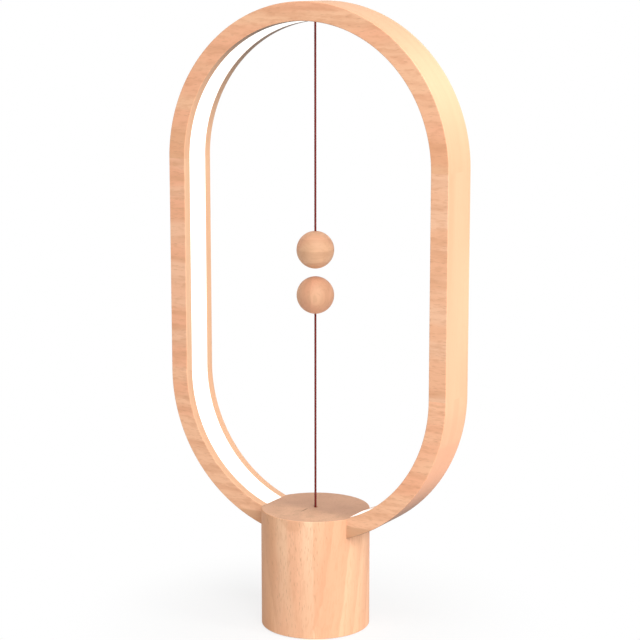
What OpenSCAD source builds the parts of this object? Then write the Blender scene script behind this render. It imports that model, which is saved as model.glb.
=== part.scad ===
// Magnetic balance lamp. Sizes are in millimetres.
// X runs across the hoop, -Y is the front, +Z is up. The origin is at the centre of the
// base, on the surface that the lamp stands on.

/* [Hoop] */
// Height of the lamp
lamp_h = 400; // [380:1:420]
// Outer width of the hoop
hoop_w = 201; // [198:1:210]
// Depth of the hoop from front to back
hoop_d = 30; // [30:1:34]
// Thickness of the hoop from its outer face to its inner face
hoop_t = 12; // [11.6:0.1:12.4]
// Height of the hoop's lowest point, inside the base
hoop_bottom_z = 60; // [59.5:0.5:61]
// Radius of the eased edges of the wood
edge_r = 0.6; // [0.3:0.1:0.8]

/* [Light] */
// Width of the groove round the hoop's inner face
groove_w = 18; // [17:0.5:19]
// Depth of the groove
groove_depth = 6; // [5.8:0.1:6.2]
// Distance between two LEDs
led_pitch = 16.5; // [12:0.5:20]

/* [Base] */
// Radius of the base
base_r = 35; // [35:0.5:40]
// Height of the base's top face
base_top_z = 77.7; // [76.5:0.1:78.5]
// Radius of the hollow inside the base
hollow_r = 25; // [25:0.1:25.5]

/* [Balls and strings] */
// Radius of both balls
ball_r = 11.9; // [11:0.1:14]
// Height of the middle of the gap between the balls
gap_z = 230.8; // [220:0.2:240]
// Gap that the magnets hold open between the balls
gap_h = 5.8; // [3:0.1:8]
// Diameter of the strings
string_d = 1.5; // [1.2:0.1:1.6]

/* [Hidden] */
$fn = 96;
arch_fn = 360;
fine_fn = 32;
beech = [0.9, 0.7, 0.54];
end_grain = [0.8, 0.6, 0.45];
steel = [0.7, 0.71, 0.73];
brass = [0.83, 0.66, 0.36];
opal = [0.97, 0.97, 0.95];
maroon = [0.3, 0.05, 0.05];
black = [0.1, 0.1, 0.1];
green = [0.1, 0.35, 0.2];

// Hoop
hoop_r = hoop_w / 2;
inner_r = hoop_r - hoop_t;
middle_r = hoop_r - hoop_t / 2;
floor_r = inner_r + groove_depth;
lower_centre_z = hoop_bottom_z + hoop_r;
upper_centre_z = lamp_h - hoop_r;
straight_h = upper_centre_z - lower_centre_z;
inner_top_z = lamp_h - hoop_t;
rim_y = (hoop_d + groove_w) / 4;
dowel_r = 1.5;
dowel_length = 20;
slot_gap = 0.15;
fit_gap = 0.05;

// Light, with the angles at the lower arch measured from its lowest point
diffuser_end = 17.1;
strip_end = 15.5;
diffuser_face_t = 1.2;
diffuser_leg_t = 1;
strip_w = 8;
strip_t = 0.3;
chip = [1.1, 2.8, 3.5];
solder_t = 0.02;
strip_top_r = floor_r - strip_t;
upper_chips = 2 * round(90 / (led_pitch / strip_top_r * 180 / PI));
stile_chips = floor(straight_h / led_pitch);
lower_chips = floor((90 - diffuser_end) / (led_pitch / strip_top_r * 180 / PI));
wire_r = 0.6;
led_wire_x = 22;

// Base, from the floor up
wood_bottom_z = 0.5;
pad_top_z = 1.5;
cover_top_z = 4.5;
ballast_top_z = 11;
board_z = 13;
board_top_z = 14.6;
hollow_top_z = 56;
rebate_r = 31;
plate_r = 30.8;
ballast_r = 24.5;
board_r = 23.5;
cover_screw_r = 28;
board_screw_r = 18;
hoop_screw = [14, rim_y];
screw_angles = [30, 150, 270];

// Power socket, at the back of the base
socket_z = board_top_z + 1.65;
socket_size = [9, 3.3];
socket_wall = 0.3;
socket_front_y = 28.3;
socket_length = 7.4;
plug_space = [12.2, 7.2];
surround_wall = 1.4;
surround_back_y = 28.5;

// Pull switch, hung from the roof of the hollow on the axis of the base
housing_r = 9;
housing_wall = 2;
housing_roof_z = 53;
housing_bottom_z = 30;
cap_z = 28;
ear_x = 12.5;
travel = 3;
flange_z = 40;
flange_t = 2;
flange_r = 6.3;
contact_t = 0.8;
contact_gap = 0.05;
stem_r = 1.55;
stem_hole_r = 1.6;
stem_bottom_z = 24;
stem_top_z = 46;
string_hole_r = 0.85;
spring_r = 3.3;
spring_wire_r = 0.3;
spring_turns = 5.5;
spring_flat_turns = 0.75;
contact_z = flange_z + flange_t + contact_t + contact_gap;
lip_t = 0.6;
lip_w = 3;
leg_y = 9.4;

// Strings and balls
string_r = string_d / 2;
guide_top_z = base_top_z - 2;
guide_bottom_z = 50;
guide_r = 2.2;
guide_bore_r = 1.2;
string_exit_r = 1.5;
lower_bend_z = base_top_z + travel + 1.2;
upper_bend_z = inner_top_z - 1;
bend_gap = string_r + 0.15;
tail_gap = string_r + 0.2;
anchor_z = inner_top_z + 2.6;
anchor_r = 2.5;
anchor_shank_r = 1.25;
upper_ball_z = gap_z + gap_h / 2 + ball_r;
lower_ball_z = gap_z - gap_h / 2 - ball_r;
ball_bore_r = 4;
ball_bore_depth = ball_r + 9.5;
magnet_h = 6;
plug_start = 0.5;
knot_r = 1.6;

// ---- Shapes that repeat ----

// Cylinder from one height to another
module rod(r, from_z, to_z) {
    translate([0, 0, from_z]) cylinder(r = r, h = to_z - from_z);
}

// Tube from one height to another
module tube(outer_r, bore_r, from_z, to_z) {
    difference() {
        rod(outer_r, from_z, to_z);
        rod(bore_r, from_z - 1, to_z + 1);
    }
}

// Rectangle with rounded corners, from the origin
module eased_rectangle(w, h, r) {
    translate([r, 0]) square([w - 2 * r, h]);
    translate([0, r]) square([w, h - 2 * r]);
    for (x = [r, w - r], y = [r, h - r])
        translate([x, y]) circle(r, $fn = fine_fn);
}

// Slot outline with round ends, centred
module stadium(w, h) {
    square([w - h, h], center = true);
    for (side = [-1, 1])
        translate([side * (w - h) / 2, 0]) circle(h / 2, $fn = fine_fn);
}

// Extrudes an outline in XZ along Y, from one place to another at the socket's height
module socket_extrude(from_y, to_y) {
    translate([0, to_y, socket_z])
        rotate([90, 0, 0])
            linear_extrude(to_y - from_y)
                children();
}

// Screw that points up from the underside of its head, with a cross cut in the head
module screw(head_r, head_h, shank_r, length) {
    difference() {
        union() {
            rod(head_r, -head_h, 0);
            rod(shank_r, -head_h / 2, length);
        }
        for (a = [0, 90])
            rotate([0, 0, a])
                translate([-head_r * 0.7, -0.3, -head_h - 1])
                    cube([head_r * 1.4, 0.6, 1 + head_h * 0.45]);
    }
}

// Countersunk screw that points up, with the flat of its head at height 0
module sunk_screw(head_r, head_h, shank_r, length) {
    difference() {
        union() {
            cylinder(r1 = head_r, r2 = shank_r, h = head_h);
            rod(shank_r, head_h / 2, length);
        }
        for (a = [0, 90])
            rotate([0, 0, a])
                translate([-head_r * 0.6, -0.3, -1])
                    cube([head_r * 1.2, 0.6, 1.6]);
    }
}

// ---- Sweeps round the hoop ----

// Sweeps a cross-section round an arch's centre, between two angles from the +X side.
// The section's x is its distance from that centre, and its y runs across the hoop's depth.
module arch_sweep(centre_z, from, to) {
    translate([0, 0, centre_z])
        rotate([90, 0, 0])
            rotate([0, 0, from])
                rotate_extrude(angle = to - from, $fn = arch_fn)
                    children();
}

// Runs the same cross-section up one stile; side is 1 on the right and -1 on the left
module stile_sweep(side) {
    mirror([side < 0 ? 1 : 0, 0, 0])
        translate([0, 0, lower_centre_z])
            linear_extrude(straight_h)
                children();
}

// Runs a cross-section round the whole hoop but for the stretch inside the base
module open_loop_sweep(end_angle) {
    arch_sweep(upper_centre_z, 0, 180) children();
    for (side = [-1, 1])
        stile_sweep(side) children();
    for (side = [0, 1])
        mirror([side, 0, 0])
            arch_sweep(lower_centre_z, 180, 270 - end_angle)
                children();
}

module hoop_section() {
    difference() {
        translate([inner_r, -hoop_d / 2]) eased_rectangle(hoop_t, hoop_d, edge_r);
        translate([inner_r - 1, -groove_w / 2]) square([groove_depth + 1, groove_w]);
    }
}

module dowel_places() {
    for (x = [-1, 1], y = [-1, 1], z = [lower_centre_z, upper_centre_z])
        translate([x * middle_r, y * rim_y, z])
            children();
}

module dowel_holes() {
    dowel_places()
        cylinder(r = dowel_r + fit_gap, h = dowel_length + 0.4, center = true, $fn = fine_fn);
}

// ---- Places in the base ----

module hoop_screw_places() {
    for (x = [-1, 1], y = [-1, 1])
        translate([x * hoop_screw[0], y * hoop_screw[1], hollow_top_z])
            children();
}

module screw_circle(r, z) {
    for (a = screw_angles)
        rotate([0, 0, a])
            translate([r, 0, z])
                children();
}

module switch_screw_places() {
    for (side = [-1, 1])
        translate([side * ear_x, 0, hollow_top_z - 2])
            children();
}

module led_wire_hole() {
    translate([led_wire_x, 0, 0]) rod(2, hollow_top_z - 1, lower_centre_z - inner_r);
}

// ---- Hoop ----

module hoop_lower_arch() {
    color(beech)
        difference() {
            arch_sweep(lower_centre_z, 180, 360) hoop_section();
            dowel_holes();
            hoop_screw_places() rod(1.3 + fit_gap, -1, 12.2);
            rod(guide_r + fit_gap, hoop_bottom_z - 1, base_top_z);
            led_wire_hole();
        }
}

module hoop_left_stile() {
    color(beech)
        difference() {
            stile_sweep(-1) hoop_section();
            dowel_holes();
        }
}

module hoop_right_stile() {
    color(beech)
        difference() {
            stile_sweep(1) hoop_section();
            dowel_holes();
        }
}

module hoop_upper_arch() {
    color(beech)
        difference() {
            arch_sweep(upper_centre_z, 0, 180) hoop_section();
            dowel_holes();
            rod(anchor_shank_r + fit_gap, inner_top_z, inner_top_z + groove_depth + 4.2);
        }
}

module hoop_dowels() {
    color(end_grain)
        dowel_places()
            cylinder(r = dowel_r, h = dowel_length, center = true, $fn = fine_fn);
}

module hoop_screws() {
    color(steel)
        hoop_screw_places()
            screw(2.6, 1.8, 1.3, 12, $fn = fine_fn);
}

// ---- Light ----

// Channel of opal plastic whose closed face is flush with the hoop's inner face
module diffuser() {
    half_w = groove_w / 2 - fit_gap;
    leg_end_r = floor_r - fit_gap;
    color(opal)
        difference() {
            open_loop_sweep(diffuser_end)
                difference() {
                    translate([inner_r, -half_w]) square([leg_end_r - inner_r, 2 * half_w]);
                    translate([inner_r + diffuser_face_t, diffuser_leg_t - half_w])
                        square([groove_depth, 2 * (half_w - diffuser_leg_t)]);
                }
            rod(1.3, inner_top_z - 1, inner_top_z + 3);
        }
}

module led_strip() {
    color(opal)
        difference() {
            open_loop_sweep(strip_end)
                translate([strip_top_r, -strip_w / 2]) square([strip_t - fit_gap, strip_w]);
            rod(anchor_shank_r + 0.1, inner_top_z, lamp_h);
        }
}

// One LED. Its solder lifts its corners clear of the curved strip
module led_chip() {
    translate([strip_top_r - solder_t - chip[0], -chip[1] / 2, -chip[2] / 2]) cube(chip);
}

module led_chips() {
    upper_step = 180 / upper_chips;
    lower_step = (90 - diffuser_end) / lower_chips;
    color([1, 0.95, 0.75]) {
        for (i = [0 : upper_chips - 1])
            translate([0, 0, upper_centre_z])
                rotate([0, -(i + 0.5) * upper_step, 0])
                    led_chip();
        for (turn = [0, 180], i = [0 : stile_chips - 1])
            rotate([0, 0, turn])
                translate([0, 0, lower_centre_z + (i + 0.5) * straight_h / stile_chips])
                    led_chip();
        for (turn = [0, 180], i = [0 : lower_chips - 1])
            rotate([0, 0, turn])
                translate([0, 0, lower_centre_z])
                    rotate([0, (i + 0.5) * lower_step, 0])
                        led_chip();
    }
}

// Two wires from the strip's end down to the board
module led_leads() {
    pad_x = led_wire_x + 4.5;
    pad_z = lower_centre_z - sqrt(strip_top_r * strip_top_r - pad_x * pad_x) + wire_r + 0.15;
    color("red")
        for (y = [-0.8, 0.8])
            translate([0, y, 0]) {
                translate([led_wire_x, 0, 0]) rod(wire_r, board_top_z + 4, pad_z, $fn = fine_fn);
                translate([led_wire_x, 0, pad_z]) sphere(wire_r, $fn = fine_fn);
                translate([led_wire_x, 0, pad_z])
                    rotate([0, 90, 0])
                        cylinder(r = wire_r, h = pad_x - led_wire_x, $fn = fine_fn);
            }
}

// ---- Base ----

module base_blank() {
    translate([0, 0, wood_bottom_z])
        rotate_extrude()
            difference() {
                translate([-base_r, 0])
                    eased_rectangle(2 * base_r, base_top_z - wood_bottom_z, edge_r);
                translate([-2 * base_r, -1]) square([2 * base_r, base_top_z + 2]);
            }
}

// Curved slot, concentric with the lower arch, that the hoop is threaded through
module hoop_slot() {
    arch_sweep(lower_centre_z, 235, 305)
        translate([inner_r - slot_gap, -hoop_d / 2 - slot_gap])
            square([hoop_t + 2 * slot_gap, hoop_d + 2 * slot_gap]);
}

module base_body() {
    pocket_w = 13.2;
    color(beech)
        difference() {
            base_blank();
            hoop_slot();
            rod(rebate_r, -1, cover_top_z);
            rod(hollow_r, 0, hollow_top_z);
            rod(guide_r + fit_gap, hollow_top_z - 1, guide_top_z + fit_gap);
            rod(string_exit_r, hollow_top_z, base_top_z + 1, $fn = fine_fn);
            led_wire_hole();
            hoop_screw_places() rod(1.3 + fit_gap, -1, 9);
            switch_screw_places() rod(1, -1, 6.2, $fn = fine_fn);
            screw_circle(cover_screw_r, 0) rod(1.2 + fit_gap, 1, 14.2, $fn = fine_fn);
            translate([-pocket_w / 2, 0, 0])
                cube([pocket_w, surround_back_y, socket_z + 4]);
            socket_extrude(surround_back_y - 1, base_r + 1)
                stadium(plug_space[0] + 2 * surround_wall + 0.2, plug_space[1] + 2 * surround_wall + 0.2);
        }
}

module foot_pad() {
    color(black) rod(plate_r, 0, pad_top_z);
}

module bottom_cover() {
    color(black)
        difference() {
            rod(plate_r, pad_top_z, cover_top_z);
            screw_circle(cover_screw_r, pad_top_z) {
                cylinder(r1 = 2.4, r2 = 1.3, h = 1.15, $fn = fine_fn);
                rod(1.3, -1, 4, $fn = fine_fn);
            }
            screw_circle(board_screw_r, pad_top_z) rod(1.25 + fit_gap, 1, 4, $fn = fine_fn);
        }
}

module cover_screws() {
    color(steel)
        screw_circle(cover_screw_r, pad_top_z)
            sunk_screw(2.3, 1.1, 1.2, 12.5, $fn = fine_fn);
}

module ballast() {
    color([0.4, 0.41, 0.43])
        difference() {
            rod(ballast_r, cover_top_z, ballast_top_z);
            screw_circle(board_screw_r, 0) rod(1.6, 0, board_z, $fn = fine_fn);
        }
}

module board_spacers() {
    color(opal)
        screw_circle(board_screw_r, 0)
            tube(2.8, 1.4, ballast_top_z, board_z, $fn = fine_fn);
}

module board_screws() {
    color(steel)
        screw_circle(board_screw_r, board_top_z)
            rotate([180, 0, 0])
                screw(2.2, 1.6, 1.25, 12, $fn = fine_fn);
}

module circuit_board() {
    tab_w = 12.6;
    tab_end_y = 27.8;
    color(green)
        difference() {
            union() {
                rod(board_r, board_z, board_top_z);
                translate([-tab_w / 2, 0, board_z]) cube([tab_w, tab_end_y, board_top_z - board_z]);
            }
            screw_circle(board_screw_r, 0) rod(1.4, 0, 20, $fn = fine_fn);
        }
}

// Wire connectors, a regulator, a coil and a capacitor
module board_components() {
    color(black)
        translate([0, 0, board_top_z]) {
            translate([led_wire_x - 2.6, -3, 0]) cube([3.4, 6, 4]);
            for (side = [-1, 1])
                translate([-2, side * 10.6 - 1.7, 0]) cube([4, 3.4, 4]);
            translate([-13, -8, 0]) cube([5, 4, 1.5]);
            translate([-20, -3, 0]) cube([6, 6, 3]);
            translate([11, -12, 0]) cylinder(r = 3, h = 5);
        }
}

module power_socket() {
    color(steel)
        difference() {
            socket_extrude(socket_front_y - socket_length, socket_front_y)
                stadium(socket_size[0], socket_size[1]);
            socket_extrude(socket_front_y - socket_length + 1, socket_front_y + 1)
                stadium(socket_size[0] - 2 * socket_wall, socket_size[1] - 2 * socket_wall);
        }
}

// Plastic tongue in the middle of the socket
module socket_tongue() {
    color(black)
        translate([-3.35, socket_front_y - socket_length + 1, socket_z - 0.35])
            cube([6.7, 4.9, 0.7]);
}

// Sleeve that lines the wood round the plug and hides the board behind a small window
module socket_surround() {
    window_gap = 0.3;
    color(black)
        intersection() {
            rod(base_r - 0.2, 0, base_top_z);
            difference() {
                socket_extrude(surround_back_y, base_r)
                    stadium(plug_space[0] + 2 * surround_wall, plug_space[1] + 2 * surround_wall);
                socket_extrude(surround_back_y + 1, base_r + 1)
                    stadium(plug_space[0], plug_space[1]);
                socket_extrude(surround_back_y - 1, base_r)
                    stadium(socket_size[0] + window_gap, socket_size[1] + window_gap);
            }
        }
}

// ---- Pull switch ----

module string_guide() {
    color(brass) tube(guide_r, guide_bore_r, guide_bottom_z, guide_top_z, $fn = 48);
}

module string_anchor() {
    color(brass)
        difference() {
            union() {
                rod(anchor_r, anchor_z, inner_top_z + groove_depth - strip_t - fit_gap);
                rod(anchor_shank_r, anchor_z, inner_top_z + groove_depth + 4);
            }
            rod(string_hole_r, anchor_z - 1, anchor_z + 2.4, $fn = fine_fn);
        }
}

module switch_housing() {
    color(opal)
        difference() {
            union() {
                rod(housing_r, housing_bottom_z, hollow_top_z);
                for (side = [-1, 1]) {
                    translate([side * ear_x, 0, 0]) rod(3.5, hollow_top_z - 2, hollow_top_z);
                    translate([side * ear_x / 2 - ear_x / 2, -3.5, hollow_top_z - 2])
                        cube([ear_x, 7, 2]);
                }
            }
            rod(housing_r - housing_wall, housing_bottom_z - 1, housing_roof_z);
            rod(guide_r + fit_gap, housing_roof_z - 1, hollow_top_z + 1, $fn = 48);
            switch_screw_places() rod(1.1, -1, 3, $fn = fine_fn);
            translate([-lip_w / 2 - fit_gap, -housing_r - 1, contact_z - fit_gap])
                cube([lip_w + 2 * fit_gap, 2 * housing_r + 2, lip_t + 2 * fit_gap]);
        }
}

// Screws into the housing's bottom and stops the plunger at the end of its travel
module switch_cap() {
    stop_z = flange_z - travel - 0.1;
    color(opal)
        difference() {
            union() {
                rod(housing_r, cap_z, housing_bottom_z);
                rod(housing_r - housing_wall - fit_gap, cap_z, stop_z);
            }
            rod(stem_hole_r, cap_z - 1, stop_z + 1, $fn = fine_fn);
            rod(5.4, housing_bottom_z, stop_z + 1);
        }
}

module switch_screws() {
    color(steel)
        switch_screw_places()
            screw(2, 1.4, 1, 6, $fn = fine_fn);
}

// Two brass strips, each with a lip over the contact ring and a leg for its wire outside
module fixed_contacts() {
    lip_start = 4.9;
    leg_h = 9;
    color(brass)
        for (side = [0, 180])
            rotate([0, 0, side])
                translate([-lip_w / 2, 0, 0]) {
                    translate([0, lip_start, contact_z])
                        cube([lip_w, leg_y + lip_t - lip_start, lip_t]);
                    translate([0, leg_y, contact_z - leg_h])
                        cube([lip_w, lip_t, leg_h + lip_t]);
                }
}

module switch_leads() {
    color("blue")
        for (side = [-1, 1])
            translate([0, side * (leg_y + lip_t + wire_r), 0])
                rod(wire_r, board_top_z + 4, contact_z - 5, $fn = fine_fn);
}

module plunger() {
    color([0.85, 0.85, 0.83])
        difference() {
            union() {
                rod(stem_r, stem_bottom_z, stem_top_z, $fn = fine_fn);
                rod(flange_r, flange_z, flange_z + flange_t);
            }
            rod(string_hole_r, stem_bottom_z - 1, stem_top_z + 1, $fn = fine_fn);
        }
}

module contact_ring() {
    color(brass)
        tube(flange_r, spring_r + 0.9, flange_z + flange_t, flange_z + flange_t + contact_t);
}

// Height of the spring's wire after a number of turns; its end turns lie flat
function spring_z(turn, from_z, to_z) =
    let (share = (turn - spring_flat_turns) / (spring_turns - 2 * spring_flat_turns))
    from_z + (to_z - from_z) * max(0, min(1, share));

// Rings of points round the spring's wire, one ring for each step of the helix
function spring_points(from_z, to_z, steps, sides) = [
    for (i = [0 : steps], j = [0 : sides - 1])
        let (turn = spring_turns * i / steps)
        let (r = spring_r + spring_wire_r * cos(360 * j / sides))
        [
            r * cos(360 * turn),
            r * sin(360 * turn),
            spring_z(turn, from_z, to_z) + spring_wire_r * sin(360 * j / sides)
        ]
];

// Faces that join each ring to the next, and close both ends
function sweep_faces(steps, sides) = concat(
    [[for (j = [0 : sides - 1]) j]],
    [
        for (i = [0 : steps - 1], j = [0 : sides - 1])
            let (next = (j + 1) % sides)
            [i * sides + j, (i + 1) * sides + j, (i + 1) * sides + next, i * sides + next]
    ],
    [[for (j = [sides - 1 : -1 : 0]) steps * sides + j]]
);

// Pushes the plunger down, and is pressed together while the strings are tight
module return_spring() {
    steps = 150;
    sides = 8;
    end_gap = spring_wire_r + 0.05;
    from_z = flange_z + flange_t + end_gap;
    to_z = housing_roof_z - end_gap;
    color(steel)
        polyhedron(spring_points(from_z, to_z, steps, sides), sweep_faces(steps, sides));
}

// ---- Strings ----

// The stretch of the lower string inside the base, with its knot under the plunger
module lower_string_tail() {
    color(maroon) {
        rod(string_r, stem_bottom_z - 1, lower_bend_z - tail_gap, $fn = fine_fn);
        translate([0, 0, stem_bottom_z - knot_r + 0.2]) sphere(knot_r - 0.2, $fn = fine_fn);
    }
}

module lower_string_bend() {
    color(maroon)
        translate([0, 0, lower_bend_z])
            sphere(string_r, $fn = fine_fn);
}

module lower_string() {
    knot_z = lower_ball_z + knot_r;
    color(maroon) {
        rod(string_r, lower_bend_z + bend_gap, knot_z, $fn = fine_fn);
        translate([0, 0, knot_z]) sphere(knot_r, $fn = fine_fn);
    }
}

// The stretch of the upper string inside the hoop's anchor
module upper_string_tail() {
    color(maroon) rod(string_r, upper_bend_z + tail_gap, anchor_z + 2.3, $fn = fine_fn);
}

module upper_string_bend() {
    color(maroon)
        translate([0, 0, upper_bend_z])
            sphere(string_r, $fn = fine_fn);
}

module upper_string() {
    knot_z = upper_ball_z - knot_r;
    color(maroon) {
        rod(string_r, knot_z, upper_bend_z - bend_gap, $fn = fine_fn);
        translate([0, 0, knot_z]) sphere(knot_r, $fn = fine_fn);
    }
}

// ---- Balls ----
// Each ball is made with its string leaving upwards, and is turned over for the lower one

module ball() {
    difference() {
        sphere(ball_r);
        rod(ball_bore_r, ball_r - ball_bore_depth, ball_r + 1);
    }
}

module magnet() {
    rod(ball_bore_r - fit_gap, ball_r - ball_bore_depth, ball_r - ball_bore_depth + magnet_h);
}

// Closes the bore behind the knot, and is rounded to the ball's own surface
module ball_plug() {
    difference() {
        intersection() {
            sphere(ball_r);
            rod(ball_bore_r - fit_gap, plug_start, ball_r + 1);
        }
        rod(string_hole_r, 0, ball_r + 1, $fn = fine_fn);
    }
}

module at_lower_ball() {
    translate([0, 0, lower_ball_z]) rotate([180, 0, 0]) children();
}

module at_upper_ball() {
    translate([0, 0, upper_ball_z]) children();
}

module lower_ball() {
    color(beech) at_lower_ball() ball();
}

module lower_magnet() {
    color(steel) at_lower_ball() magnet();
}

module lower_ball_plug() {
    color(end_grain) at_lower_ball() ball_plug();
}

module upper_ball() {
    color(beech) at_upper_ball() ball();
}

module upper_magnet() {
    color(steel) at_upper_ball() magnet();
}

module upper_ball_plug() {
    color(end_grain) at_upper_ball() ball_plug();
}

base_body();
hoop_lower_arch();
hoop_left_stile();
hoop_right_stile();
hoop_upper_arch();
hoop_dowels();
hoop_screws();
diffuser();
led_strip();
led_chips();
led_leads();
bottom_cover();
cover_screws();
foot_pad();
ballast();
board_spacers();
board_screws();
circuit_board();
board_components();
power_socket();
socket_tongue();
socket_surround();
string_guide();
string_anchor();
switch_housing();
switch_cap();
switch_screws();
fixed_contacts();
switch_leads();
plunger();
contact_ring();
return_spring();
lower_string_tail();
lower_string_bend();
lower_string();
lower_ball();
lower_magnet();
lower_ball_plug();
upper_string_tail();
upper_string_bend();
upper_string();
upper_ball();
upper_magnet();
upper_ball_plug();
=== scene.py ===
# %% [markdown]
# # A magnetic balance lamp
# The lamp is a closed wooden hoop threaded through a turned wooden base. A glowing channel runs
# round the hoop's inner face. Two wooden balls with magnets inside are held in the middle by red
# strings, and when they pull at each other the lower string lifts a switch in the base.
# This notebook dresses a finished construction model. The main measures are read from that
# model. Those that its boxes don't give, such as the width of an eased edge or of the base's
# hollow, are repeated here.

# %% Load the construction
import math

import bpy
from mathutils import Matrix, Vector


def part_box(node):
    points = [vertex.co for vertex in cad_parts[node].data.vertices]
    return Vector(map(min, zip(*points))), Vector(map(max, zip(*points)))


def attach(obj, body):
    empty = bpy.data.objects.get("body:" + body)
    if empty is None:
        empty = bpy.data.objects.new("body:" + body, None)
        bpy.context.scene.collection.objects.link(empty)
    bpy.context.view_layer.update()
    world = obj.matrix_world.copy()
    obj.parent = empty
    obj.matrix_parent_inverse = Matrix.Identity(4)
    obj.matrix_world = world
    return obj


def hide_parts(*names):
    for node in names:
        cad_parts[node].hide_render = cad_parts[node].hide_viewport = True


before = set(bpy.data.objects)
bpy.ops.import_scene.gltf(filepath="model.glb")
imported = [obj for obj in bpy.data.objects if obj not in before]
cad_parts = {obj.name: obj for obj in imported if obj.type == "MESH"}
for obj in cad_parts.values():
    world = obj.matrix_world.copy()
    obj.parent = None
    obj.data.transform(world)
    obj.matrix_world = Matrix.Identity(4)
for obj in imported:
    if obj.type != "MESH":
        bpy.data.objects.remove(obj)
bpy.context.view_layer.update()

# %% [markdown]
# ## Measures
# The boxes of the construction's pieces hold nearly all the sizes that the looks need: the
# stile gives the hoop's thickness and depth, and the light channel gives the groove.

# %% Read the measures
MM = 0.001
stile_low, stile_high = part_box("hoop_right_stile")
channel_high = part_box("diffuser")[1]
base_low, base_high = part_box("base_body")

inner_r, outer_r = stile_low.x, stile_high.x
half_depth = stile_high.y
lower_z, upper_z = stile_low.z, stile_high.z
groove_half = channel_high.y + 0.05 * MM
groove_r = channel_high.x + 0.05 * MM
base_r, base_top = base_high.x, base_high.z
print(f"hoop {2 * outer_r / MM:.1f} mm wide, {(outer_r - inner_r) / MM:.1f} mm thick, "
      f"{2 * half_depth / MM:.1f} mm deep")
print(f"base {2 * base_r / MM:.1f} mm across, top at {base_top / MM:.1f} mm")

# %% [markdown]
# ## The camera
# The lamp is seen from the front right and from a little above its middle. The lens is long, so
# the stiles stay nearly parallel. The camera is placed by its direction and its distance from
# the point that it looks at.

# %% Set the camera
view_turn = math.radians(30.315)
view_rise = math.radians(10.345)
view_distance = 1.2225
look_at = Vector((0.00339, 0, 0.20056))
towards_camera = Vector((
    math.sin(view_turn) * math.cos(view_rise),
    -math.cos(view_turn) * math.cos(view_rise),
    math.sin(view_rise),
))
camera_data = bpy.data.cameras.new("camera")
camera_data.lens = 108.6
camera_data.sensor_width = 36
camera = bpy.data.objects.new("camera", camera_data)
camera.location = look_at + view_distance * towards_camera
camera.rotation_euler = (-towards_camera).to_track_quat("-Z", "Y").to_euler()
bpy.context.scene.collection.objects.link(camera)
bpy.context.scene.camera = camera
bpy.context.scene.view_settings.view_transform = "Standard"
print("camera at", [round(c, 3) for c in camera.location])

# %% [markdown]
# ## Shader maths in plain Python
# A finish is a small sum of noises and masks. Blender builds such sums from Math nodes, one node
# for each operator, and that is slow to read. So a socket is wrapped in a class whose operators
# add the nodes, and `0.5 * streak + fleck` then means what it says. Every other node comes from
# one method, which sets the node's own settings first and then its sockets.

# %% Wrap a socket
class Wire:
    """A shader value that plain operators work on."""

    def __init__(self, finish, socket):
        self.finish = finish
        self.socket = socket

    def output(self, name):
        """Another output of the node that this value comes from."""
        return Wire(self.finish, self.socket.node.outputs[name])

    def maths(self, operation, *values):
        return self.finish.node("Math", {"operation": operation}, dict(enumerate(values)))

    def __add__(self, other):
        return self.maths("ADD", self, other)

    def __radd__(self, other):
        return self.maths("ADD", other, self)

    def __sub__(self, other):
        return self.maths("SUBTRACT", self, other)

    def __rsub__(self, other):
        return self.maths("SUBTRACT", other, self)

    def __mul__(self, other):
        return self.maths("MULTIPLY", self, other)

    def __rmul__(self, other):
        return self.maths("MULTIPLY", other, self)

    def __gt__(self, other):
        return self.maths("GREATER_THAN", self, other)

    def fraction(self):
        return self.maths("FRACT", self)

    def step(self, low, high):
        """0 below low, 1 above high, and a soft slope between them."""
        inputs = {"Value": self, "From Min": low, "From Max": high}
        return self.finish.node("MapRange", {"interpolation_type": "SMOOTHSTEP"}, inputs)


print("a socket takes plain operators")

# %% Build a material
class Finish:
    """A material under construction. A world will do too: it has nodes of the same kind."""

    def __init__(self, name, kind="materials"):
        self.material = getattr(bpy.data, kind).new(name)
        self.material.use_nodes = True
        self.tree = self.material.node_tree
        self.tree.nodes.clear()

    def node(self, kind, settings=None, inputs=None, output=0):
        made = self.tree.nodes.new("ShaderNode" + kind)
        for name, value in (settings or {}).items():
            setattr(made, name, value)
        for name, value in (inputs or {}).items():
            if isinstance(value, Wire):
                self.tree.links.new(value.socket, made.inputs[name])
            else:
                made.inputs[name].default_value = value
        return Wire(self, made.outputs[output]) if made.outputs else None

    def vector(self, operation, *values, output="Vector"):
        inputs = dict(enumerate(values))
        return self.node("VectorMath", {"operation": operation}, inputs, output)

    def place(self):
        """The place on the piece, in metres."""
        return self.node("TexCoord", output="Object")

    def noise(self, vector, scale, detail=2.0, roughness=0.5):
        """Soft noise; scale is one number for each axis, in lumps a metre."""
        stretched = self.vector("MULTIPLY", vector, scale)
        inputs = {"Vector": stretched, "Scale": 1.0, "Detail": detail, "Roughness": roughness}
        return self.node("TexNoise", None, inputs)

    def mix(self, share, first, second):
        """One colour over another; share 0 is the first."""
        inputs = {0: share, 6: first, 7: second}
        return self.node("Mix", {"data_type": "RGBA"}, inputs, output=2)

    def bump(self, height, depth):
        """Relief from a height of 0 to 1, with its depth in metres."""
        return self.node("Bump", None, {"Height": height, "Distance": depth})

    def surface(self, **inputs):
        """Ends the material in one Principled surface; an underscore stands for a space."""
        sockets = {name.replace("_", " "): value for name, value in inputs.items()}
        shader = self.node("BsdfPrincipled", None, sockets)
        self.node("OutputMaterial", None, {"Surface": shader})
        return self.material


print("materials can be built")

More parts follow.
